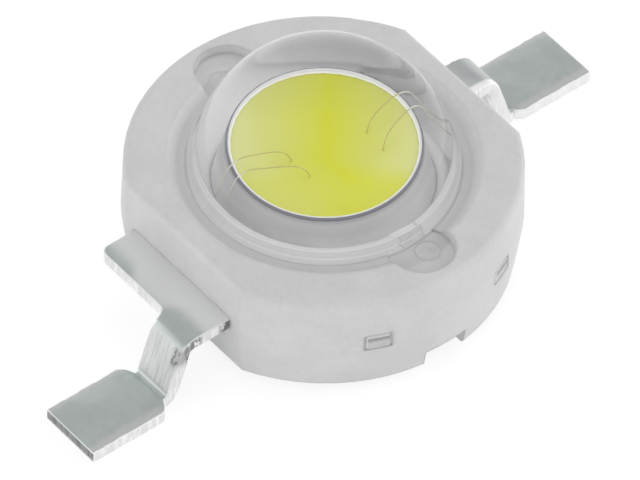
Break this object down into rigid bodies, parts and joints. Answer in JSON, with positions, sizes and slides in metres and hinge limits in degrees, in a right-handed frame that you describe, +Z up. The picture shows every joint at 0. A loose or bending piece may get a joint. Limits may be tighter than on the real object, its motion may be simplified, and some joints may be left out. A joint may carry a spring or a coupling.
{
  "type": "high power led",
  "caption": "Clear-domed white light-emitting diode in a moulded ring on a metal slug, with formed leads for soldering to a board.",
  "frame": {"origin": "centre of the footprint at the board: the underside of the slug and of both feet, on the axis of the ring and dome", "axes": "+X along the leads, from the wide lead towards the narrow one; +Y across them, on the side of the narrow lead's foot; +Z up through the dome"},
  "size_m": [0.0144, 0.008, 0.0051],
  "materials": {
    "white_moulding": "smooth white heat-resistant moulding",
    "slug_metal": "silver-plated copper",
    "lead_metal": "silver-plated lead frame with sheared edges",
    "attach_metal": "silver-filled die attach",
    "chip": "polished semiconductor",
    "phosphor": "yellow phosphor in silicone",
    "wire_gold": "bright gold wire",
    "silicone": "clear soft silicone",
    "lens_clear": "clear polished polycarbonate"
  },
  "bodies": {
    "root": {"housing": "white_moulding", "heat_slug": "slug_metal", "wide_lead": "lead_metal", "narrow_lead": "lead_metal", "tie_bar_1": "lead_metal", "tie_bar_2": "lead_metal", "tie_bar_3": "lead_metal", "tie_bar_4": "lead_metal", "die_attach": "attach_metal", "led_chip": "chip", "phosphor_fill": "phosphor", "bond_wire_1": "wire_gold", "bond_wire_2": "wire_gold", "bond_wire_3": "wire_gold", "bond_wire_4": "wire_gold", "silicone_fill": "silicone", "lens": "lens_clear"}
  },
  "joints": []
}
